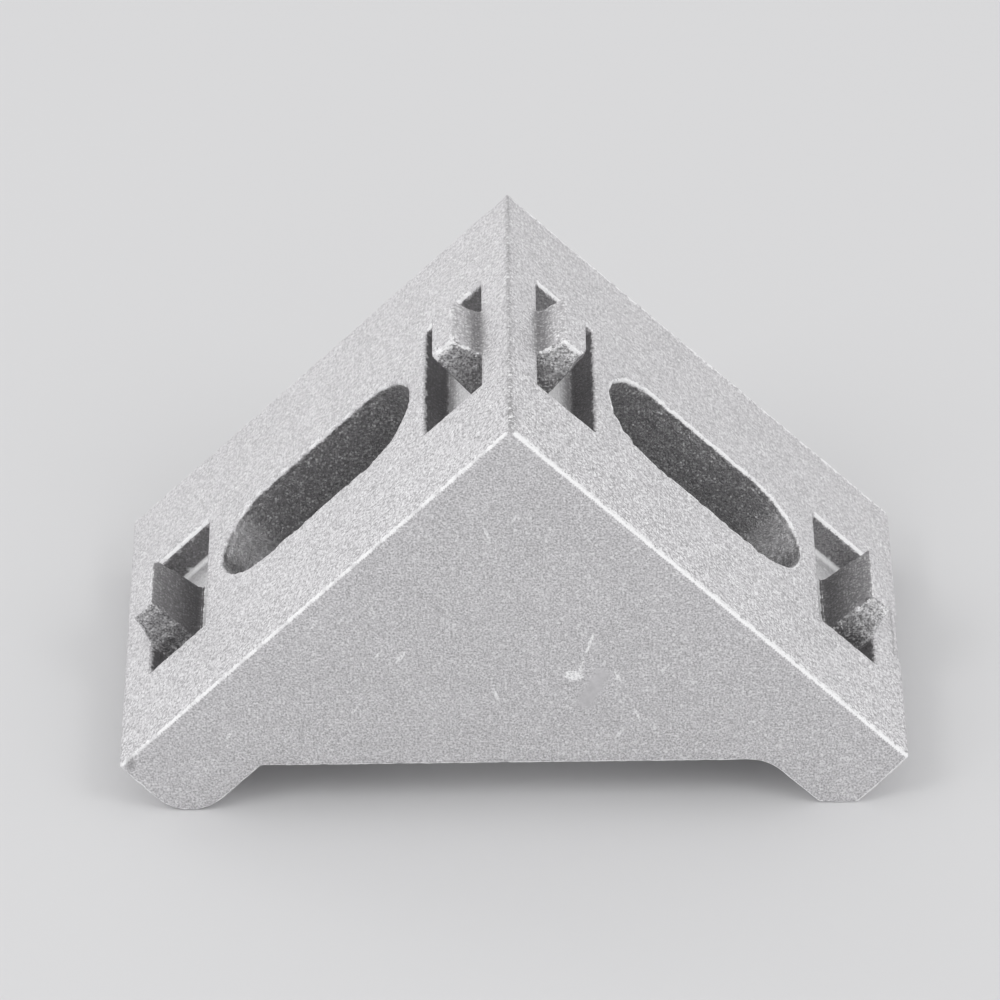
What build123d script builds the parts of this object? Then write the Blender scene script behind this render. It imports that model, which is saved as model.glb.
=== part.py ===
from build123d import *
import math
import os

# Cast aluminium corner bracket for T-slot profile: two legs at a right angle, joined by two
# triangular gusset walls, with a slotted bolt hole and two recessed locating lugs in each leg.
# One piece. It stands on its two feet like a tent: outer corner on top, +Z up, +Y away from the
# viewer along the corner, one leg running down to -X and the other down to +X.

# Driving dimensions, mm
LEG = 35.0              # leg's outer face, from the sharp outer corner to its end
WIDTH = 28.0            # across the two gusset walls
LEG_THICK = 6.4
FOOT_LONG = 6.2         # leg's end beyond the gussets
FOOT_BEVEL = 1.7        # right foot's bevel, and how much the left foot's rounding takes off
GUSSET_THICK = 4.0      # gusset wall at its root, beside the corner
CORNER_RECESS = 2.6     # outer corner to the first recess
END_RECESS = 2.4        # leg's end to the second recess
RECESS_LONG = 5.0       # along the leg
RECESS_WIDE = 12.0
RECESS_DEEP = 2.0
SLOT_LAND = 1.5         # metal left between the slotted hole and each recess
SLOT_WIDE = 8.0
LUG_HEIGHT = 2.05       # how far a lug stands proud of the leg's outer face
LUG_REACH = 2.3         # from the wall behind a lug to the front of its crest
CORNER_LUG_WIDE = 4.8   # lug's crest, across the leg
END_LUG_WIDE = 5.4
CORNER_LUG_LEAN = 0.3   # how far a lug's back leans in, from its root to its crest
END_LUG_LEAN = 0.55

# Radii and bevels, mm, and drafts, degrees
CORNER_R = 0.15         # outer corner, where the two leg faces meet
END_BOW = 0.2           # how far the end of a leg bows out past its outer edge
HEEL_R = 0.35           # gusset's free edge to the left foot
HEEL_R_WIDE = 2.8       # gusset's free edge to the right foot
FOOT_BEVEL_R = 1.0      # right foot's bevel to its inner side
EDGE_R = 0.22           # all round both gusset faces
MOUTH_BEVEL = 0.17      # rims of the slots and recesses
RECESS_FLOOR_R = 0.2
RECESS_DRAFT = 3.0
LUG_R = 0.25
LUG_ROOT_R = 0.45
LUG_FRONT_DRAFT = 3.0
LUG_SIDE_DRAFT = 4.0
HOLLOW_R = 1.6          # where a gusset wall meets a leg inside
CORNER_LAND = 0.3       # flat metal between the inside corner's rounding and the slotted hole
HOLLOW_DRAFT = 1.5

# Sizes that follow from those
LEG_TIP = LEG + END_BOW
HEEL = LEG - FOOT_LONG
FOOT_R = FOOT_BEVEL / (2 - math.sqrt(2))
FOOT_REACH = LEG_TIP + LEG_THICK - FOOT_BEVEL   # both feet stand on the line u + v = this
CREST_Z = FOOT_REACH / math.sqrt(2)
FIRST_RECESS = CORNER_RECESS + RECESS_LONG / 2
LAST_RECESS = LEG - END_RECESS - RECESS_LONG / 2
SLOT_MIDDLE = (FIRST_RECESS + LAST_RECESS) / 2
SLOT_LONG = LAST_RECESS - FIRST_RECESS - RECESS_LONG - 2 * SLOT_LAND
HOLLOW_CORNER_R = SLOT_MIDDLE - SLOT_LONG / 2 - CORNER_LAND - LEG_THICK
HOLLOW_WIDE = WIDTH - 2 * GUSSET_THICK

# Planes. PROFILE is the middle plane: its x runs down the left leg (u), its y down the right
# leg (v), and its normal points at the viewer. Each leg's outer face has x down the leg and its
# normal outwards.
PROFILE = Plane(origin=(0, 0, CREST_Z), x_dir=(-1, 0, -1), z_dir=(0, -1, 0))
LEFT_FACE = Plane(origin=(0, 0, CREST_Z), x_dir=(-1, 0, -1), z_dir=(-1, 0, 1))
RIGHT_FACE = Plane(origin=(0, 0, CREST_Z), x_dir=(1, 0, -1), z_dir=(1, 0, 1))


def side_outline():
    """The bracket seen square on to a gusset. The left foot is rounded, the right one bevelled,
    and both reach the same ground line."""
    left_end = TangentArc((LEG_TIP, LEG_THICK - FOOT_R), (LEG, 0), tangent=(0, -1))
    right_end = TangentArc((LEG_THICK - FOOT_BEVEL, LEG_TIP), (0, LEG), tangent=(-1, 0))
    foot_round = RadiusArc(
        (LEG_TIP, LEG_THICK - FOOT_R), (LEG_TIP - FOOT_R, LEG_THICK), -FOOT_R
    )
    lines = [
        Line((0, 0), (LEG, 0)),
        left_end,
        foot_round,
        Line((LEG_TIP - FOOT_R, LEG_THICK), (HEEL, LEG_THICK)),
        Line((HEEL, LEG_THICK), (LEG_THICK, HEEL)),
        Line((LEG_THICK, HEEL), (LEG_THICK, LEG_TIP - FOOT_BEVEL)),
        Line((LEG_THICK, LEG_TIP - FOOT_BEVEL), (LEG_THICK - FOOT_BEVEL, LEG_TIP)),
        right_end,
        Line((0, LEG), (0, 0)),
    ]
    outline = Sketch() + make_face(Wire(lines).edges())
    for point, radius in (
        ((0, 0), CORNER_R),
        ((HEEL, LEG_THICK), HEEL_R),
        ((LEG_THICK, HEEL), HEEL_R_WIDE),
        ((LEG_THICK, LEG_TIP - FOOT_BEVEL), FOOT_BEVEL_R),
    ):
        corner = outline.vertices().sort_by_distance(point)[0]
        outline = fillet(corner, radius)
    return outline


def hollow():
    """The space between the gusset walls, wider towards its open side."""
    far = 2 * LEG
    triangle = PROFILE * Polygon(
        (LEG_THICK, LEG_THICK), (far, LEG_THICK), (LEG_THICK, far), align=None
    )
    root_z = CREST_Z - LEG_THICK * math.sqrt(2)
    half = HOLLOW_WIDE / 2
    flare = far * math.tan(math.radians(HOLLOW_DRAFT))
    section = Plane.YZ * Polygon(
        (-half, root_z), (half, root_z), (half + flare, root_z - far),
        (-half - flare, root_z - far), align=None
    )
    space = extrude(triangle, WIDTH, both=True) & extrude(section, far, both=True)
    apex = space.edges().filter_by(Axis.Y).sort_by(Axis.Z)[-1]
    space = fillet(apex, HOLLOW_CORNER_R)
    by_width = space.faces().sort_by(Axis.Y)
    joins = [
        edge for side in (by_width[0], by_width[-1]) for edge in side.edges()
        if edge.center().Z > root_z - far / 2 - LEG_THICK
    ]
    return fillet(joins, HOLLOW_R)


# The next three shapes are made at the origin: x down the leg, z = 0 on its outer face and +Z
# outwards.

def slot_core():
    """The slotted hole's core."""
    return extrude(SlotOverall(SLOT_LONG, SLOT_WIDE), 2 * LEG_THICK, both=True)


def recess_core():
    """The rectangular recess round one lug, narrowing to a rounded floor."""
    core = extrude(Rectangle(RECESS_LONG, RECESS_WIDE), -RECESS_DEEP, taper=RECESS_DRAFT)
    floor = core.faces().sort_by(Axis.Z)[0]
    return fillet(floor.edges(), RECESS_FLOOR_R)


def lug(lean, crest_wide):
    """One locating lug, backed by its recess's wall on the +x side: its side view, narrowed by
    the slopes of its end view."""
    wall = RECESS_LONG / 2
    crest_back = wall - lean
    crest_front = wall - LUG_REACH
    height = LUG_HEIGHT + RECESS_DEEP
    root_front = crest_front - height * math.tan(math.radians(LUG_FRONT_DRAFT))
    bed = 2 * LUG_ROOT_R
    under = RECESS_DEEP + bed
    side = Sketch() + Polygon(
        (wall + bed, -under), (wall + bed, 0), (wall, 0), (crest_back, LUG_HEIGHT),
        (crest_front, LUG_HEIGHT), (root_front, -RECESS_DEEP), (root_front - bed, -RECESS_DEEP),
        (root_front - bed, -under), align=None
    )
    for point, radius in (
        ((wall, 0), LUG_ROOT_R),
        ((crest_back, LUG_HEIGHT), LUG_R),
        ((crest_front, LUG_HEIGHT), LUG_R),
        ((root_front, -RECESS_DEEP), LUG_ROOT_R),
    ):
        side = fillet(side.vertices().sort_by_distance(point)[0], radius)
    slope = math.tan(math.radians(LUG_SIDE_DRAFT))
    crest = crest_wide / 2
    root = crest + (LUG_HEIGHT + 2 * under) * slope
    tip = crest - LUG_HEIGHT * slope
    end = Plane.YZ * Polygon(
        (-root, -2 * under), (root, -2 * under), (tip, 2 * LUG_HEIGHT), (-tip, 2 * LUG_HEIGHT),
        align=None
    )
    block = extrude(Plane.XZ * side, RECESS_WIDE, both=True)
    block = block & extrude(end, 2 * RECESS_LONG, both=True)
    flanks = block.faces().sort_by(Axis.Y)
    edges = flanks[0].edges() + flanks[-1].edges()
    return fillet([edge for edge in edges if edge.center().Z > LUG_R / 2], LUG_R)


def openings(part, face, depth):
    """The edges of every opening in a leg's outer face, or in its inner face LEG_THICK below."""
    level = Plane(face.origin - face.z_dir * depth, x_dir=face.x_dir, z_dir=face.z_dir)
    flats = [
        flat for flat in part.faces().filter_by(GeomType.PLANE)
        if abs(level.to_local_coords(flat.center()).Z) < EDGE_R / 10
        and abs(flat.normal_at().dot(face.z_dir)) > 0.999
    ]
    return [edge for flat in flats for wire in flat.inner_wires() for edge in wire.edges()]


body = extrude(PROFILE * side_outline(), WIDTH / 2, both=True)
body -= hollow()
for face in (LEFT_FACE, RIGHT_FACE):
    body -= face * Pos(SLOT_MIDDLE, 0, 0) * slot_core()
    body -= face * Pos(FIRST_RECESS, 0, 0) * recess_core()
    body -= face * Pos(LAST_RECESS, 0, 0) * recess_core()

for face in (LEFT_FACE, RIGHT_FACE):
    body = chamfer(openings(body, face, 0), MOUTH_BEVEL)
    body = chamfer(openings(body, face, LEG_THICK), MOUTH_BEVEL)
for side in (0, -1):
    gusset = body.faces().sort_by(Axis.Y)[side]
    body = fillet(gusset.outer_wire().edges(), EDGE_R)

for face in (LEFT_FACE, RIGHT_FACE):
    body += face * Pos(FIRST_RECESS, 0, 0) * Rot(0, 0, 180) * lug(CORNER_LUG_LEAN, CORNER_LUG_WIDE)
    body += face * Pos(LAST_RECESS, 0, 0) * lug(END_LUG_LEAN, END_LUG_WIDE)

bracket = body.solids()[0]
bracket.label = "bracket"
os.makedirs("parts", exist_ok=True)
export_step(bracket, "parts/bracket.step")
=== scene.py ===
import math
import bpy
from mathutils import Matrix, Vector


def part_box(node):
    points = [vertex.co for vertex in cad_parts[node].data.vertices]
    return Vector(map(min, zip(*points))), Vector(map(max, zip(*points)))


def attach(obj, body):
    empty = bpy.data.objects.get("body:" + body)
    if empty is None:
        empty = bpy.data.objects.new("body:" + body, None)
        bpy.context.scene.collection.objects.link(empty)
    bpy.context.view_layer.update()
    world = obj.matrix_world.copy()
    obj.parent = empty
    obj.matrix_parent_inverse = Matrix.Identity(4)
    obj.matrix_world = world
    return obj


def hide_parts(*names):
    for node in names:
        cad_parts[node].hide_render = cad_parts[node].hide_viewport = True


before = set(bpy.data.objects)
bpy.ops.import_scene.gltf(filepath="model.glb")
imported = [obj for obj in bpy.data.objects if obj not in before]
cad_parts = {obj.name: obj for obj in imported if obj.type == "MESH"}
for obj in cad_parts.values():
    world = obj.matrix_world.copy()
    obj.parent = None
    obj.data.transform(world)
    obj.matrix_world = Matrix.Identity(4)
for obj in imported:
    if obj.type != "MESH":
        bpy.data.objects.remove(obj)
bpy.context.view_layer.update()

from types import SimpleNamespace

import bpy
import numpy as np
from mathutils import Matrix, Vector
from mathutils.bvhtree import BVHTree
from mathutils.kdtree import KDTree

# The looks of a cast, blasted aluminium corner bracket. The bracket's detailed mesh starts from
# the CAD node: it is remeshed finely, snapped back to the CAD surface and then worn and
# roughened in code. Work on it is in millimetres.
MM = 1000.0             # millimetres in a metre

# Sizes shared with the CAD source, mm
LEG = 35.0
WIDTH = 28.0
LEG_THICK = 6.4
CORNER_RECESS = 2.6     # outer corner to the first recess
END_RECESS = 2.4        # leg's end to the second recess
RECESS_LONG = 5.0
RECESS_WIDE = 12.0
RECESS_DEEP = 2.0
SLOT_LAND = 1.5         # metal between the slotted hole and each recess
SLOT_WIDE = 8.0
LUG_HEIGHT = 2.05
LUG_LONG = 2.6          # a lug's root along the leg
LUG_WIDE = 6.1          # and across it
CORNER_R = 0.15
MOUTH_BEVEL = 0.17
FIRST_RECESS = CORNER_RECESS + RECESS_LONG / 2
LAST_RECESS = LEG - END_RECESS - RECESS_LONG / 2
SLOT_MIDDLE = (FIRST_RECESS + LAST_RECESS) / 2
SLOT_LONG = LAST_RECESS - FIRST_RECESS - RECESS_LONG - 2 * SLOT_LAND

# Camera, degrees and mm: nearly square on to one gusset, from above
ELEVATION = 33.17
AZIMUTH = 0.08
ROLL = -0.73
DISTANCE = 488.4
LENS = 277.5
AIM_ACROSS = -0.69
AIM_BELOW_CREST = 14.28

# Mesh
VOXEL = 0.125           # mm
MOST_TRIANGLES = 196_000
MESH_ONLY = ("lug", "slot_rim")     # kinds of surface that the material doesn't read

# How deep casting texture and wear go, mm
WAVE = 0.008            # every face, in long waves
RIPPLE = 0.004          # and in shorter ones
GRAIN = 0.006
NIBBLE = 0.035          # bites out of worn edges
RIM_NIBBLE = 1.6        # how many times deeper they are round the slotted holes
END_LUMPS = 0.11        # lugs' rough ends
END_GRAIN = 0.07
END_RAISED = 0.10       # how much of that stands out instead of going in
CRUMBLE = 0.22          # lugs' crumbled crests
FINE_CRUMBLE = 0.12
WALL_ROUGH = 0.02       # walls of the slotted holes and recesses
INSIDE_ROUGH = 0.025    # between the gussets
GATE_DEEP = 0.10        # where the casting's gate was cut off the right leg's end
GATE_ROUGH = 0.05
GATE_W = 0.7            # gate's middle, towards the near gusset

# Openings' areas, mm
RIM = 0.15              # how far an opening's bevelled mouth reaches
SOFT = 0.1              # an area's soft border

# Height of the sharp corner that the rounded crest was cut from, mm
CREST_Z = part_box("bracket")[1].z * MM + CORNER_R * (math.sqrt(2) - 1)


# ---------------------------------------------------------------- camera

def make_camera():
    """A long lens that looks at the middle of the bracket's front."""
    turn = Matrix.Rotation(math.radians(AZIMUTH), 4, "Z")
    turn @= Matrix.Rotation(math.radians(90 - ELEVATION), 4, "X")
    turn @= Matrix.Rotation(math.radians(ROLL), 4, "Z")
    aim = Vector((AIM_ACROSS, 0, CREST_Z - AIM_BELOW_CREST))
    back = turn @ Vector((0, 0, DISTANCE))
    data = bpy.data.cameras.new("camera")
    data.sensor_width = 36.0
    data.lens = LENS
    data.clip_start = 0.01
    camera = bpy.data.objects.new("camera", data)
    camera.matrix_world = Matrix.Translation((aim + back) / MM) @ turn
    bpy.context.scene.collection.objects.link(camera)
    bpy.context.scene.camera = camera


# ---------------------------------------------------------------- mesh tools

def lumps(points, size, seed):
    """Smooth noise from -1 to 1 at each point, with lumps of that size."""
    cells = 64
    lattice = np.random.default_rng(seed).uniform(-1, 1, (cells, cells, cells))
    place = points / size
    cell = np.floor(place).astype(int)
    part = place - cell
    part = part * part * (3 - 2 * part)
    total = np.zeros(len(points))
    for corner in np.ndindex(2, 2, 2):
        weight = np.prod(np.where(corner, part, 1 - part), axis=1)
        total += weight * lattice[tuple(((cell + corner) % cells).T)]
    return total


def step(value, start, end):
    """0 before start, 1 past end, and smooth between them. end may be the lower one."""
    share = np.clip((value - start) / (end - start), 0, 1)
    return share * share * (3 - 2 * share)


def band(value, middle, half, soft):
    """1 within half of the middle, falling to 0 over soft outside that."""
    return step(np.abs(value - middle), half + soft, half)


def get(mesh, what):
    """Each vertex's co or normal, as an array."""
    values = np.empty(len(mesh.vertices) * 3, np.float32)
    source = mesh.vertices if what == "co" else mesh.vertex_normals
    source.foreach_get("co" if what == "co" else "vector", values)
    return values.reshape(-1, 3).astype(float)


def put(mesh, points):
    mesh.vertices.foreach_set("co", points.astype(np.float32).ravel())
    mesh.update()


def applied(mesh, modifier, **settings):
    """A new mesh: this one with one modifier applied."""
    holder = bpy.data.objects.new("holder", mesh)
    bpy.context.scene.collection.objects.link(holder)
    made = holder.modifiers.new("modifier", modifier)
    for name, value in settings.items():
        setattr(made, name, value)
    graph = bpy.context.evaluated_depsgraph_get()
    result = bpy.data.meshes.new_from_object(holder.evaluated_get(graph))
    bpy.data.objects.remove(holder)
    return result


def convexity(mesh, points, normals):
    """How sharply the surface turns outwards at each vertex, per mm; hollows are negative."""
    pairs = np.empty(len(mesh.edges) * 2, np.int32)
    mesh.edges.foreach_get("vertices", pairs)
    pairs = pairs.reshape(-1, 2)
    total = np.zeros(len(points))
    count = np.zeros(len(points))
    for here, there in ((0, 1), (1, 0)):
        a, b = pairs[:, here], pairs[:, there]
        step_to = points[b] - points[a]
        length = np.maximum((step_to ** 2).sum(1), 1e-9)
        bend = -2 * (step_to * normals[a]).sum(1) / length
        total += np.bincount(a, bend, len(points))
        count += np.bincount(a, minlength=len(points))
    value = total / np.maximum(count, 1)
    for _ in range(2):
        spread = value * 2
        weight = np.full(len(points), 2.0)
        for here, there in ((0, 1), (1, 0)):
            a, b = pairs[:, here], pairs[:, there]
            spread += np.bincount(a, value[b], len(points))
            weight += np.bincount(a, minlength=len(points))
        value = spread / weight
    return value


# ---------------------------------------------------------------- the bracket's surface

def places(points, normals):
    """Each point's place on the bracket: u down the left leg, v down the right leg, w towards
    the near gusset, depth below the nearer leg's outer face and distance along that leg. out,
    down and across say how far its normal leans out of that face, down that leg and towards
    either gusset."""
    fall = CREST_Z - points[:, 2]
    u = (fall - points[:, 0]) / math.sqrt(2)
    v = (fall + points[:, 0]) / math.sqrt(2)
    side = np.where(v < u, -1.0, 1.0)
    return SimpleNamespace(
        points=points,
        u=u,
        v=v,
        w=-points[:, 1],
        depth=np.minimum(u, v),
        along=np.maximum(u, v),
        on_right=v > u,
        out=(side * normals[:, 0] + normals[:, 2]) / math.sqrt(2),
        down=(side * normals[:, 0] - normals[:, 2]) / math.sqrt(2),
        across=np.abs(normals[:, 1]),
    )


def walls(at):
    """1 on surfaces that stand across a leg's outer face. Those that face along the leg count
    from a gentler slope."""
    along_leg = step(np.abs(at.out), 0.97, 0.80) * (at.across < 0.5)
    return np.maximum(along_leg, step(np.abs(at.out), 0.75, 0.45))


def past_rim(at):
    """1 deeper than an opening's bevelled mouth."""
    return step(at.depth, MOUTH_BEVEL - 0.19, MOUTH_BEVEL + 0.35)


def root_shade(at):
    """1 where a corner lug's back meets the outer face, fading up the lug."""
    share = step(at.along, CORNER_RECESS - 0.65, CORNER_RECESS - 0.05)
    share *= step(at.along, CORNER_RECESS + 0.5, CORNER_RECESS + 0.3)
    share *= band(at.w, 0, LUG_WIDE / 2 - 0.9, 0.8)
    return share * step(at.depth, -1.9, 0.0) * (at.depth < 0.3)


def recess_areas(at):
    """Shares from 0 to 1 of the surface's kinds in the recesses and on the lugs, by name."""
    recess = lug = lug_front = lug_back = shade = np.zeros(len(at.points))
    for middle, to_slot in ((FIRST_RECESS, 1), (LAST_RECESS, -1)):
        within = band(at.along, middle, RECESS_LONG / 2 + RIM, SOFT)
        within *= band(at.w, 0, RECESS_WIDE / 2 + RIM, SOFT)
        centre = middle - to_slot * (RECESS_LONG / 2 - LUG_LONG / 2)
        here = band(at.along, centre, LUG_LONG / 2 - 0.02, 0.04)
        here *= band(at.w, 0, LUG_WIDE / 2, SOFT)
        from_wall = RECESS_LONG / 2 - (at.along - middle) * to_slot
        recess = np.maximum(recess, within)
        lug = np.maximum(lug, here)
        lug_front = np.maximum(lug_front, here * step(at.down * to_slot, 0.5, 0.7))
        lug_back = np.maximum(lug_back, here * step(at.down * to_slot, -0.45, -0.75))
        shade = np.maximum(shade, within * step(from_wall, 1.3, 0.1))
    lug = lug * step(at.depth, RECESS_DEEP + 0.05, RECESS_DEEP - 0.15)
    # The open floor is painted light, and its part by the slot-side wall painted shade
    at_floor = step(at.depth, RECESS_DEEP - 0.25, RECESS_DEEP - 0.1)
    at_floor *= step(at.depth, RECESS_DEEP + 0.3, RECESS_DEEP + 0.1)
    # Painted highlight: a pale line where the floor meets the recess's long walls
    floor_rim = band(np.abs(at.w), RECESS_WIDE / 2 - 0.2, 0.12, 0.08)
    floor_rim *= band(at.depth, RECESS_DEEP - 0.08, 0.12, 0.06)
    crumbs = lug * (at.along < SLOT_MIDDLE) * step(at.depth, -1.3, -1.8)
    crumbs *= band(np.abs(at.w), LUG_WIDE / 2 - 0.6, 0.05, 0.35)
    return {
        "lug": lug,
        "lug_end": lug * step(at.across, 0.5, 0.7),
        "lug_front": lug_front * step(at.depth, RECESS_DEEP - 0.02, RECESS_DEEP - 0.12),
        # Painted shade on the lugs' backs, darkest where a corner lug's back meets the outer face
        "lug_back": np.maximum(0.18 * lug_back, 0.85 * root_shade(at)),
        "lug_crumbs": crumbs,
        "recess_side": recess * walls(at) * (1 - lug) * past_rim(at),
        "recess_floor": recess * at_floor * (1 - shade),
        "floor_shade": recess * at_floor * shade,
        "floor_rim": recess * floor_rim * (1 - lug),
    }


def slot_areas(at):
    """The same for the slotted holes."""
    past_straight = np.abs(at.along - SLOT_MIDDLE) - (SLOT_LONG - SLOT_WIDE) / 2
    radius = np.hypot(np.maximum(past_straight, 0), at.w)
    inside = band(radius, 0, SLOT_WIDE / 2 + 0.05, SOFT)
    inside *= past_rim(at) * step(at.depth, LEG_THICK + 0.1, LEG_THICK - 0.1)
    lit = step(at.down, -0.40, -0.80) * step(at.along, SLOT_MIDDLE, SLOT_MIDDLE + 4)
    lit *= step(np.abs(at.w), 0.1, 1.2) * step(at.depth, 4.5, 2.5)
    return {
        "slot": inside * walls(at),
        "slot_lit": inside * lit,
        "slot_rim": band(radius, SLOT_WIDE / 2 + 0.1, 0.25, 0.2) * (at.depth < 0.6),
    }


def other_areas(at):
    """The same for the corner between the legs, the hollow and the gate mark."""
    gate_line = band(at.w, GATE_W, 2.3, 0.3) * band(at.along, LEG - 0.55, 0.04, 0.12)
    near_crest_darkening = step(at.u + 0.6 * at.v, 0.40, 0.15)
    hollow = band(at.w, 0, WIDTH / 2 - 3.2, 0.2)
    return {
        "crest": np.where(at.w > WIDTH / 2 - 3.0, near_crest_darkening, step(at.along, 0.26, 0.12)),
        # Painted shade inside the hollow between the gussets
        "inside": hollow * step(at.depth, LEG_THICK - 0.05, LEG_THICK + 0.1),
        "gate_line": gate_line * at.on_right * (at.depth < 0.3),
    }


def frayed(at):
    """How much each point is on the frayed border of an outer face, beside a gusset."""
    reach = WIDTH / 2 - np.where(at.on_right, 0.38, 0.16)
    reach += np.where(at.on_right, 0.10, 0.06) * lumps(at.points, 1.3, 14)
    share = 0.62 * step(np.abs(at.w), reach - 0.2, reach) * (at.depth < 0.1)
    return share * step(at.along, 0.25, 0.5) * step(at.across, 0.6, 0.3)


def edges(at, bend, kinds):
    """How much each point is on a worn outer edge, from 0 to 1: on edges that run down a leg, not
    at the corner between the legs, and on a lug mainly at its crest. Gaps break up the rims,
    fewer on the right leg. The material paints this white, partly as wear and partly as painted
    highlight."""
    lug = kinds["lug"]
    slot_rim = kinds["slot_rim"]
    gaps = step(lumps(at.points, 0.5, 13), 0.2, -0.2)
    # Painted highlight: the right slotted hole's rim stays white further round its upper end
    rim_highlight = slot_rim * at.on_right * step(at.along, SLOT_MIDDLE, SLOT_MIDDLE - 2)
    recess_rim = band(np.abs(at.w), RECESS_WIDE / 2 + 0.1, 0.25, 0.2) * (at.depth < 0.6)
    recess_rim *= at.along < CORNER_RECESS + RECESS_LONG + 0.3
    turned = np.maximum(step(at.across, 0.12, 0.32), rim_highlight * step(at.across, -0.1, 0.1))
    share = step(bend, 0.25, 0.85) * step(at.along, 0.25, 0.5)
    share *= turned * np.maximum(step(at.across, 0.985, 0.92), lug)
    share *= 1 - slot_rim * np.where(at.on_right, 0.12 + 0.25 * gaps, 0.30 + 0.45 * gaps)
    share *= 1 - recess_rim * np.where(at.on_right, 0.15 + 0.35 * gaps, 0.25 + 0.55 * gaps)
    share *= 1 - lug * np.where(at.along < SLOT_MIDDLE, 0.55 * gaps, 0.6)
    below_crest = step(at.depth, -LUG_HEIGHT + 0.5, -LUG_HEIGHT + 0.9)
    fading = 0.75 + 0.25 * step(at.depth, -0.8, 0.3)
    fading *= 1 - 0.6 * (at.along < CORNER_RECESS + 0.7)
    return np.maximum(share * (1 - lug * below_crest * fading), frayed(at))


def bites(at, size, seed, more=0.0):
    """Separate hollows of that size from 0 to about 1 deep, and more of them where more is
    above 0."""
    return np.clip(lumps(at.points, size, seed) + more, 0, 1)


def rough(at, size, seed):
    """An uneven depth from 0 to 2."""
    return 1 - lumps(at.points, size, seed)


def wear(at, bend, kinds):
    """How far each point is moved in along its normal, in mm."""
    depth = WAVE * rough(at, 6.0, 1) + RIPPLE * rough(at, 1.6, 2) + GRAIN * rough(at, 0.33, 3)
    nibble = NIBBLE * (bites(at, 0.6, 4, 0.1) + bites(at, 0.3, 5))
    depth += nibble * (kinds["edge"] + RIM_NIBBLE * kinds["slot_rim"])
    lug_end = END_LUMPS * rough(at, 0.7, 6) + END_GRAIN * rough(at, 0.33, 7) - END_RAISED
    depth += lug_end * kinds["lug_end"]
    crumble = CRUMBLE * bites(at, 0.9, 8, 0.3) + FINE_CRUMBLE * bites(at, 0.4, 9)
    tips = step(np.abs(at.w), LUG_WIDE / 2 - 1.3, LUG_WIDE / 2 - 0.8)
    crests = step(bend, 0.3, 1.2) * step(at.depth, -0.3, -1.2)
    depth += crumble * crests * tips * kinds["lug"]
    depth += WALL_ROUGH * rough(at, 0.5, 10) * np.maximum(kinds["slot"], kinds["recess_side"])
    depth += INSIDE_ROUGH * rough(at, 0.9, 11) * kinds["inside"]
    gate = band(at.w, GATE_W, 2.4, 0.2) * step(at.along, LEG - 0.6, LEG - 0.45)
    gate *= at.on_right * (at.depth < 1.0)
    return depth + gate * (GATE_DEEP + GATE_ROUGH * lumps(at.points, 0.5, 12))


def detailed_mesh():
    """The bracket as a fine, worn mesh, with its surface kinds stored on its points."""
    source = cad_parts["bracket"].data.copy()
    source.transform(Matrix.Scale(MM, 4))
    tree = BVHTree.FromPolygons(
        [vertex.co for vertex in source.vertices],
        [polygon.vertices for polygon in source.polygons],
    )
    fine = applied(source, "REMESH", mode="VOXEL", voxel_size=VOXEL, adaptivity=0.0)
    points = get(fine, "co")
    for index, point in enumerate(points):
        points[index] = tree.find_nearest(Vector(point))[0]
    put(fine, points)
    normals = get(fine, "normal")
    bend = convexity(fine, points, normals)
    at = places(points, normals)
    kinds = {**recess_areas(at), **slot_areas(at), **other_areas(at)}
    kinds["edge"] = edges(at, bend, kinds)
    shifted = points - wear(at, bend, kinds)[:, None] * normals
    found = KDTree(len(points))
    for index, point in enumerate(shifted):
        found.insert(point, index)
    found.balance()
    put(fine, shifted)
    triangles = 2 * len(fine.polygons)
    light = applied(
        fine, "DECIMATE", ratio=MOST_TRIANGLES / triangles, use_collapse_triangulate=True
    )
    nearest = [found.find(vertex.co)[1] for vertex in light.vertices]
    for name in sorted(set(kinds) - set(MESH_ONLY)):
        layer = light.attributes.new(name, "FLOAT", "POINT")
        layer.data.foreach_set("value", kinds[name][nearest].astype(np.float32))
    light.transform(Matrix.Scale(1 / MM, 4))
    light.shade_smooth()
    print("triangles", triangles, "thinned to", len(light.polygons))
    return light


# ---------------------------------------------------------------- material

# Colours
METAL = (0.718, 0.709, 0.721, 1)
SKIN_AND_SHADE = (0.230, 0.225, 0.230, 1)         # darker as-cast skin and painted shade in the openings
LUG_ENDS = ((0.44, 0.435, 0.442, 1), (0.72, 0.715, 0.722, 1))    # left leg's, right leg's; the left leg's darker as painted shade
# Painted light on the open part of the recess floors
RECESS_FLOOR_LIGHT = (0.9, 0.9, 0.905, 1)
SLOT_DOT = (0.80, 0.80, 0.805, 1)
# White for bright facets, which are partly painted glints, and for fresh marks
GLINT_AND_MARK_WHITE = (0.98, 0.98, 0.985, 1)
# White for worn edges, partly wear and partly painted highlight
WORN_EDGE_AND_HIGHLIGHT = (0.99, 0.99, 0.995, 1)

# Noise and cells to a millimetre
FINE = 6.4
FLANK_FINE = 7.8        # on the gussets
COARSE = 3.6
MOTTLE = 0.35
PATCHES = 1.3
JAG = 2.4
FLECKS = 4.6
SPECKLE = 5.6
LARGE_FACETS = 4.2
NOISE_RANGE = (0.30, 0.70)      # where nearly all of a noise's values are
INNER_RANGE = (0.35, 0.65)      # and where most of them are

# LUG_ENDS and the next two groups follow the light that the look was matched under, and not
#  the metal: they set painted shade, painted light and painted glints by leg and by side.
# Left leg's and right leg's shares
SLOT_DARK = (0.79, 0.74)
FAR_WALL_PALER = (0.17, 0.40)
LUG_FRONT_DARK = (1.0, 0.90)
CHIPS = (0.28, 0.55)
DOTS = (0.95, 1.0)
FACETS = (1.0, 1.25)

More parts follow.
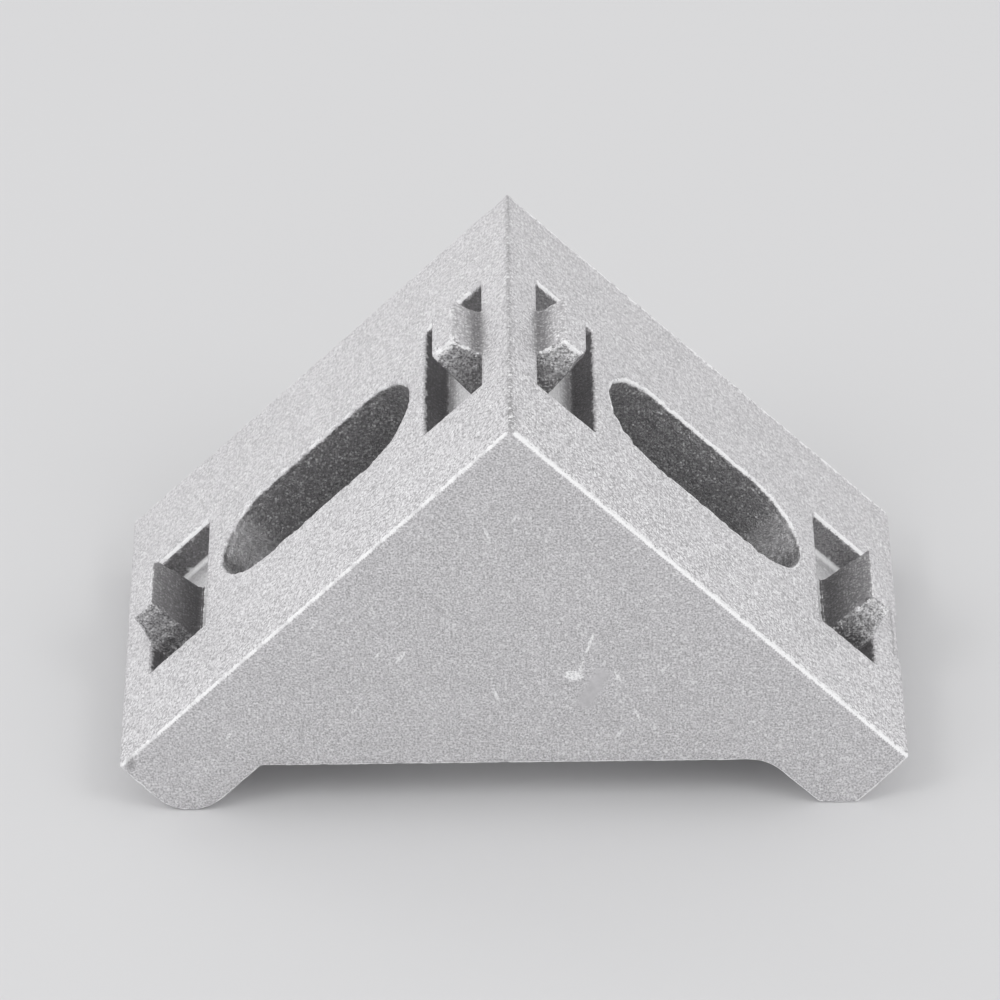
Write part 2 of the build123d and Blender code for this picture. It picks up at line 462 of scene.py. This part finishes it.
# Far side's and near side's shares
FACETS_BY_SIDE = (0.42, 0.95)
CONTRAST_BY_SIDE = (0.22, 0.42)

# How dark the painted shade is on the shaded recess floors and inside the hollow, and how dark
#  the line at the gate's cut is
FLOOR_DARK = 0.7
INSIDE_DARK = 0.45
GATE_DARK = 0.55

# The one plain scrape, smooth patch and stain, mm: places are x and z on the near gusset
SCRAPE_TOP = (5.0, 13.0)
SCRAPE_FOOT = (4.0, 10.0)
SCRAPE_HALF = 0.12
DAB_LONG = 0.5
DAB_HALF = 0.50
SMOOTH_TOP = (5.5, 10.0)
SMOOTH_FOOT = (4.5, 8.0)
SMOOTH_HALF = 0.75
STAIN = (-24.0, 3.5)
STAIN_LONG = 0.5
STAIN_HALF = 0.4
STAIN_DARK = 0.45
NICK_TILTS = (22, -35)  # degrees
NICK_STRETCH = (0.90, 0.90, 0.20)
NICK_BRIGHT = 0.75


class Nodes:
    """Short ways to add shader nodes to one material."""

    def __init__(self, name):
        self.material = bpy.data.materials.new(name)
        self.material.use_nodes = True
        self.tree = self.material.node_tree
        self.tree.nodes.clear()

    def add(self, kind, inputs=None, **settings):
        node = self.tree.nodes.new(kind)
        for name, value in settings.items():
            setattr(node, name, value)
        for name, value in (inputs or {}).items():
            self.feed(node.inputs[name], value)
        return node

    def feed(self, socket, value):
        if isinstance(value, bpy.types.NodeSocket):
            self.tree.links.new(value, socket)
        else:
            socket.default_value = value

    def math(self, operation, a, b=0.0, clamp=False):
        node = self.add("ShaderNodeMath", {0: a, 1: b}, operation=operation, use_clamp=clamp)
        return node.outputs[0]

    def vector(self, operation, inputs):
        return self.add("ShaderNodeVectorMath", inputs, operation=operation).outputs

    def plus(self, a, b):
        return self.math("ADD", a, b)

    def minus(self, a, b):
        return self.math("SUBTRACT", a, b)

    def times(self, first, *others):
        for other in others:
            first = self.math("MULTIPLY", first, other)
        return first

    def most(self, first, *others):
        for other in others:
            first = self.math("MAXIMUM", first, other)
        return first

    def rest(self, share):
        return self.minus(1.0, share)

    def remap(self, value, start, end, low_value=0.0, high_value=1.0):
        inputs = {
            "Value": value, "From Min": start, "From Max": end,
            "To Min": low_value, "To Max": high_value,
        }
        return self.add("ShaderNodeMapRange", inputs).outputs["Result"]

    def mix(self, share, a, b):
        """One colour to another."""
        node = self.add("ShaderNodeMix", data_type="RGBA")
        self.feed(node.inputs["Factor"], share)
        for socket, value in ((node.inputs[6], a), (node.inputs[7], b)):
            self.feed(socket, value)
        return node.outputs[2]

    def blend(self, share, a, b):
        """One value to another."""
        node = self.add("ShaderNodeMix", data_type="FLOAT")
        self.feed(node.inputs["Factor"], share)
        self.feed(node.inputs[2], a)
        self.feed(node.inputs[3], b)
        return node.outputs[0]

    def scaled(self, colour, by):
        """A colour times a value."""
        if isinstance(colour, tuple):
            colour = colour[:3]
        return self.vector("SCALE", {0: colour, "Scale": by})[0]

    def noise(self, place, per_mm, detail=2.0, rough=0.5):
        inputs = {"Vector": place, "Scale": per_mm, "Detail": detail, "Roughness": rough}
        return self.add("ShaderNodeTexNoise", inputs).outputs["Fac"]

    def stored(self, name):
        return self.add("ShaderNodeAttribute", attribute_name=name).outputs["Fac"]


def mark_share(nodes, place, start, end, half):
    """1 on a straight mark between two points of a flat place, and 0 off it."""
    start = Vector((*start, 0))
    run = Vector((*end, 0)) - start
    offset = nodes.vector("SUBTRACT", {0: place, 1: start})[0]
    dot = nodes.vector("DOT_PRODUCT", {0: offset, 1: run})["Value"]
    share = nodes.math("DIVIDE", dot, run.length_squared, clamp=True)
    foot = nodes.vector("SCALE", {0: run, "Scale": share})[0]
    gap = nodes.vector("DISTANCE", {0: offset, 1: foot})["Value"]
    return nodes.remap(gap, half, half * 0.3)


def cell_middles(nodes, place, per_mm, pick_range, middle_range):
    """1 at the middles of a few random cells, and 0 elsewhere."""
    cells = nodes.add("ShaderNodeTexVoronoi", {"Vector": place, "Scale": per_mm})
    pick = nodes.add("ShaderNodeSeparateColor", {0: cells.outputs["Color"]}).outputs[0]
    middle = nodes.remap(cells.outputs["Distance"], *middle_range)
    return nodes.times(nodes.remap(pick, *pick_range), middle)


def nicks(nodes, place, tilt):
    """Short straight nicks scattered over every face, all leaning one way."""
    inputs = {"Vector": place, "Angle": math.radians(tilt)}
    turned = nodes.add("ShaderNodeVectorRotate", inputs, rotation_type="Y_AXIS").outputs[0]
    stretched = nodes.vector("MULTIPLY", {0: turned, 1: NICK_STRETCH})[0]
    return cell_middles(nodes, stretched, 1.0, (0.30, 0.80), (0.13, 0.07))


def sparkles(nodes, place, per_mm, rare, rarest):
    """Small bright facets of the grain."""
    return cell_middles(nodes, place, per_mm, (rare, rarest), (0.56, 0.36))


def ragged(nodes, share, jag):
    """A share whose soft border is made sharper and uneven."""
    shifted = nodes.plus(share, nodes.remap(jag, *INNER_RANGE, -0.3, 0.3))
    return nodes.remap(shifted, *INNER_RANGE)


def surface_places(nodes):
    """Where each point is, in mm, and which part of the bracket that is. flank is 1 on faces
    that face a gusset's way, and near runs from 0 at the far side to 1 at the near one."""
    coordinates = nodes.add("ShaderNodeTexCoord").outputs["Object"]
    place = nodes.vector("SCALE", {0: coordinates, "Scale": MM})[0]
    x, y, z = nodes.add("ShaderNodeSeparateXYZ", {0: place}).outputs
    fall = nodes.minus(CREST_Z, z)
    below_left = nodes.times(nodes.plus(fall, x), math.sqrt(0.5))
    below_right = nodes.times(nodes.minus(fall, x), math.sqrt(0.5))
    depth = nodes.math("MINIMUM", below_left, below_right)
    normal = nodes.add("ShaderNodeNewGeometry").outputs["Normal"]
    facing = nodes.add("ShaderNodeSeparateXYZ", {0: normal}).outputs["Y"]
    return SimpleNamespace(
        place=place,
        y=y,
        front=nodes.add("ShaderNodeCombineXYZ", {"X": x, "Y": z}).outputs[0],
        along=nodes.most(below_left, below_right),
        low=nodes.remap(depth, -LUG_HEIGHT + 0.6, 1.2),
        right=nodes.math("GREATER_THAN", x, 0.0),
        near=nodes.remap(y, WIDTH / 2, -WIDTH / 2),
        on_near=nodes.math("LESS_THAN", y, 0.2 - WIDTH / 2),
        flank=nodes.remap(nodes.math("ABSOLUTE", facing), 0.5, 0.8),
    )


def surface_noises(nodes, at):
    place = at.place
    return SimpleNamespace(
        fine=nodes.noise(place, nodes.blend(at.flank, FINE, FLANK_FINE), 2.0, 0.6),
        coarse=nodes.noise(place, COARSE, 2.0, 0.5),
        mottle=nodes.noise(place, MOTTLE, 3.0, 0.6),
        patches=nodes.noise(place, PATCHES, 3.0, 0.6),
        jag=nodes.noise(place, JAG, 3.0, 0.6),
        flecks=nodes.noise(place, FLECKS, 3.0, 0.65),
        speckle=nodes.noise(place, SPECKLE, 2.0, 0.7),
    )


def surface_marks(nodes, at, noise):
    """The scrape and the nicks as fresh, the smooth patch as calm, and the stain."""
    scrape = mark_share(nodes, at.front, SCRAPE_TOP, SCRAPE_FOOT, SCRAPE_HALF)
    scrape = nodes.times(scrape, nodes.remap(noise.coarse, 0.40, 0.52, 0.15, 1.0))
    dab_end = (SCRAPE_FOOT[0] - DAB_LONG, SCRAPE_FOOT[1])
    dab = ragged(nodes, mark_share(nodes, at.front, SCRAPE_FOOT, dab_end, DAB_HALF), noise.flecks)
    scrape = nodes.times(nodes.most(scrape, dab), at.on_near)
    nick = nodes.most(*[nicks(nodes, at.place, tilt) for tilt in NICK_TILTS])
    calm = mark_share(nodes, at.front, SMOOTH_TOP, SMOOTH_FOOT, SMOOTH_HALF)
    stain_end = (STAIN[0], STAIN[1] + STAIN_LONG)
    stain = mark_share(nodes, at.front, STAIN, stain_end, STAIN_HALF)
    return SimpleNamespace(
        fresh=nodes.most(scrape, nodes.times(nick, NICK_BRIGHT)),
        calm=nodes.times(calm, at.on_near),
        stain=nodes.times(stain, at.on_near, STAIN_DARK),
    )


def surface_openings(nodes, noise):
    """The openings' kinds of surface, with uneven borders."""
    return SimpleNamespace(
        slot=ragged(nodes, nodes.stored("slot"), noise.jag),
        recess=ragged(nodes, nodes.stored("recess_side"), noise.jag),
        lug_end=ragged(nodes, nodes.stored("lug_end"), noise.jag),
        lug_front=ragged(nodes, nodes.stored("lug_front"), noise.jag),
    )


def dark_share(nodes, at, noise, opening):
    """How far each point is from the open faces' paleness to the darker skin and painted shade:
    painted shade on the walls of the slotted holes and recesses, the lugs' fronts and backs, the
    shaded recess floors and the inside of the hollow, and a darker line at the gate's cut. A lit
    patch in each slotted hole is painted light.
    """
    # Painted light: the recess walls on the far side are painted paler, more so on the right leg
    far_wall = nodes.times(at.flank, nodes.math("GREATER_THAN", at.y, 0.0))
    paler = nodes.times(far_wall, nodes.blend(at.right, *FAR_WALL_PALER))
    # Painted shade on the lugs' fronts, darker towards their root and on the left leg
    front = nodes.times(nodes.blend(at.low, 0.76, 1.0), nodes.blend(at.right, *LUG_FRONT_DARK))
    dark = nodes.most(
        # Painted shade on the walls of the slotted holes, darker on the left leg
        nodes.times(opening.slot, nodes.blend(at.right, *SLOT_DARK)),
        nodes.times(opening.recess, nodes.rest(paler)),
        nodes.times(opening.lug_front, front),
        nodes.stored("lug_back"),
        nodes.times(nodes.stored("floor_shade"), FLOOR_DARK),
        nodes.times(nodes.stored("inside"), INSIDE_DARK),
        nodes.times(nodes.stored("gate_line"), GATE_DARK),
    )
    patchy = nodes.remap(noise.patches, *INNER_RANGE, 0.6, 1.0)
    return nodes.times(dark, nodes.rest(nodes.times(nodes.stored("slot_lit"), patchy)))


def bright_facets(nodes, at, noise, opening, marks, share):
    """Bright facets on every face, partly grain and partly painted glints, stronger towards the
    near side and on the right leg; chips on the lugs' ends and crumbs on their crests.
    """
    small = sparkles(nodes, at.place, FINE, 0.64, 0.74)
    large = sparkles(nodes, at.place, LARGE_FACETS, 0.84, 0.92)
    strength = nodes.blend(at.near, *FACETS_BY_SIDE)
    strength = nodes.times(strength, nodes.blend(at.right, *FACETS))
    small_strength = nodes.blend(share.dark, nodes.blend(at.flank, strength, 0.26), 0.12)
    open_face = nodes.minus(nodes.rest(share.shaded), nodes.times(at.flank, 0.6))
    chips = nodes.times(opening.lug_end, nodes.blend(at.right, *CHIPS))
    facets = nodes.most(
        nodes.times(small, small_strength),
        nodes.times(chips, nodes.remap(noise.flecks, 0.52, 0.60)),
        nodes.times(large, strength, nodes.most(open_face, 0.0)),
    )
    crumbs = ragged(nodes, nodes.stored("lug_crumbs"), noise.flecks)
    crumbs = nodes.times(crumbs, nodes.remap(noise.flecks, 0.42, 0.54, 0.2, 0.9))
    return nodes.most(nodes.times(facets, nodes.rest(marks.calm)), crumbs)


def slot_dots(nodes, at, noise, slot):
    """Pale dots on the slotted holes' walls, denser towards the corner."""
    start = SLOT_MIDDLE - SLOT_LONG / 2
    thinning = nodes.remap(at.along, start, start + SLOT_LONG, 0.0, 0.055)
    fine = nodes.remap(nodes.minus(noise.speckle, thinning), 0.535, 0.63, 0.0, 0.6)
    grains = sparkles(nodes, at.place, SPECKLE, 0.62, 0.90)
    grains = nodes.times(grains, nodes.remap(noise.patches, 0.36, 0.60))
    return nodes.times(nodes.most(fine, grains), slot, nodes.blend(at.right, *DOTS))


def worn_edges_and_highlights(nodes, at, noise, slot):
    # White worn edges, partly wear and partly painted highlight, more broken on the left leg
    left = nodes.remap(noise.patches, 0.42, 0.54, 0.35, 1.0)
    right = nodes.remap(noise.patches, 0.35, 0.50, 0.85, 1.0)
    jag = nodes.blend(0.45, noise.fine, noise.jag)
    edge = nodes.times(ragged(nodes, nodes.stored("edge"), jag), nodes.blend(at.right, left, right))
    return nodes.most(nodes.times(edge, nodes.rest(slot)), nodes.times(nodes.stored("floor_rim"), 0.8))


def grain_tone(nodes, at, noise, calm):
    """How light the grain is, about 1, calmer on the smooth patch."""
    contrast = nodes.blend(at.flank, nodes.blend(at.near, *CONTRAST_BY_SIDE), 0.37)
    speck = nodes.times(nodes.remap(noise.fine, *NOISE_RANGE, -1, 1), contrast)
    speck = nodes.blend(calm, nodes.plus(1.0, speck), 1.0)
    lump = nodes.remap(noise.coarse, *NOISE_RANGE, 0.93, 1.07)
    cloud = nodes.remap(noise.mottle, *NOISE_RANGE, 0.975, 1.025)
    return nodes.times(speck, lump, cloud)


def open_metal(nodes, at, noise, tone):
    """The open faces' colour, darker along the corner between the legs."""
    crest_darkening = nodes.remap(noise.coarse, *INNER_RANGE, 0.08, 0.32)
    crest_darkening = nodes.blend(nodes.remap(at.y, -8.0, -11.0), crest_darkening, 0.32)
    crest = nodes.times(nodes.stored("crest"), crest_darkening)
    tone = nodes.times(tone, nodes.rest(crest), nodes.blend(at.flank, 0.985, 0.945))
    return nodes.scaled(METAL, tone)


def base_colour(nodes, at, noise, opening, marks, share):
    """Open metal, then what lies over it in turn."""
    tone = grain_tone(nodes, at, noise, marks.calm)
    # Darker as-cast skin and painted shade, for the openings, the lugs' lower ends and the stain
    skin_and_shade = nodes.scaled(SKIN_AND_SHADE, nodes.blend(0.6, 1.0, tone))
    # The lugs' rough ends, painted darker on the left leg and towards their root as painted shade
    broken_and_shaded = nodes.scaled(nodes.mix(at.right, *LUG_ENDS), nodes.math("POWER", tone, 2.2))
    layers = (
        (nodes.times(nodes.stored("recess_floor"), 0.6), RECESS_FLOOR_LIGHT),
        (share.dark, skin_and_shade),
        (opening.lug_end, nodes.mix(at.low, broken_and_shaded, skin_and_shade)),
        (slot_dots(nodes, at, noise, opening.slot), SLOT_DOT),
        (share.bright, GLINT_AND_MARK_WHITE),
        (nodes.times(share.edge, 0.98), WORN_EDGE_AND_HIGHLIGHT),
        (marks.stain, skin_and_shade),
        (share.fresh, GLINT_AND_MARK_WHITE),
    )
    base = open_metal(nodes, at, noise, tone)
    for amount, colour in layers:
        base = nodes.mix(amount, base, colour)
    return base


def cast_aluminium():
    """Blasted cast aluminium. The openings' walls are painted darker than its open faces, as skin
    and painted shade, and the open part of the recess floors paler, as painted light. Bright
    facets and worn edges are partly painted glints and highlights; they and the fresh marks are
    chalky and not metallic, so that they stay white from every side."""
    nodes = Nodes("cast_aluminium")
    at = surface_places(nodes)
    noise = surface_noises(nodes, at)
    marks = surface_marks(nodes, at, noise)
    opening = surface_openings(nodes, noise)
    share = SimpleNamespace(dark=dark_share(nodes, at, noise, opening))
    share.shaded = nodes.most(share.dark, opening.lug_end)
    share.bright = bright_facets(nodes, at, noise, opening, marks, share)
    share.edge = worn_edges_and_highlights(nodes, at, noise, opening.slot)
    grainy = nodes.remap(noise.fine, 0.38, 0.54, 0.25, 1.0)
    share.fresh = nodes.times(marks.fresh, grainy, nodes.rest(share.shaded))
    chalky = nodes.most(share.fresh, nodes.times(share.bright, 0.95), nodes.times(share.edge, 0.9))

    roughness = nodes.remap(noise.coarse, 0.2, 0.8, 0.50, 0.66)
    for amount, value in ((share.bright, 0.14), (share.edge, 0.44), (share.dark, 0.72)):
        roughness = nodes.blend(amount, roughness, value)
    height = nodes.plus(nodes.times(noise.coarse, 0.4), noise.fine)
    strength = nodes.remap(marks.calm, 0.0, 1.0, 1.0, 0.1)
    bump = {"Height": height, "Strength": strength, "Distance": 0.00007}
    inputs = {
        "Base Color": base_colour(nodes, at, noise, opening, marks, share),
        "Roughness": roughness,
        "Metallic": nodes.rest(chalky),
        "Normal": nodes.add("ShaderNodeBump", bump).outputs[0],
    }
    shader = nodes.add("ShaderNodeBsdfPrincipled", inputs)
    output = nodes.add("ShaderNodeOutputMaterial")
    nodes.tree.links.new(shader.outputs[0], output.inputs[0])
    return nodes.material


def make_bracket():
    bracket = bpy.data.objects.new("bracket_surface", detailed_mesh())
    bpy.context.scene.collection.objects.link(bracket)
    bracket.data.materials.clear()
    bracket.data.materials.append(cast_aluminium())
    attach(bracket, "root")
    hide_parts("bracket")


# ---------------------------------------------------------------- stage

FLOOR_HALF = 1.5        # m
FLOOR_COLOURS = ((0.672, 0.672, 0.678, 1), (0.692, 0.692, 0.698, 1))
SKY_COLOUR = (0.935, 0.935, 0.94, 1)
SKY_STRENGTH = 0.87
LAMP_WIDE = 0.4         # m
LAMPS = (               # place in m, and watts
    ("key", (-0.5, -0.4, 0.6), 1.2),
    ("fill", (0.5, -0.4, 0.6), 1.0),
    ("back", (-0.55, 0.55, 0.45), 0.4),
)


def make_floor():
    half = FLOOR_HALF
    mesh = bpy.data.meshes.new("floor")
    corners = [(-half, -half, 0), (half, -half, 0), (half, half, 0), (-half, half, 0)]
    mesh.from_pydata(corners, [], [(0, 1, 2, 3)])
    floor = bpy.data.objects.new("floor", mesh)
    bpy.context.scene.collection.objects.link(floor)
    nodes = Nodes("floor")
    coordinates = nodes.add("ShaderNodeTexCoord").outputs["Object"]
    cloud = nodes.noise(coordinates, 9.0, 2.0)
    colour = nodes.mix(cloud, *FLOOR_COLOURS)
    shader = nodes.add("ShaderNodeBsdfPrincipled", {"Base Color": colour, "Roughness": 0.9})
    output = nodes.add("ShaderNodeOutputMaterial")
    nodes.tree.links.new(shader.outputs[0], output.inputs[0])
    mesh.materials.append(nodes.material)


def make_lamp(name, place, watts):
    """A soft round lamp that points at the foot of the bracket."""
    data = bpy.data.lights.new(name, "AREA")
    data.shape = "DISK"
    data.size = LAMP_WIDE
    data.energy = watts
    lamp = bpy.data.objects.new(name, data)
    lamp.location = place
    lamp.rotation_euler = (-Vector(place)).to_track_quat("-Z", "Y").to_euler()
    bpy.context.scene.collection.objects.link(lamp)


def make_world():
    world = bpy.data.worlds.new("studio")
    world.use_nodes = True
    background = world.node_tree.nodes["Background"]
    background.inputs["Color"].default_value = SKY_COLOUR
    background.inputs["Strength"].default_value = SKY_STRENGTH
    bpy.context.scene.world = world


make_camera()
make_world()
for lamp in LAMPS:
    make_lamp(*lamp)
make_floor()
make_bracket()
bpy.context.scene.view_settings.view_transform = "Standard"
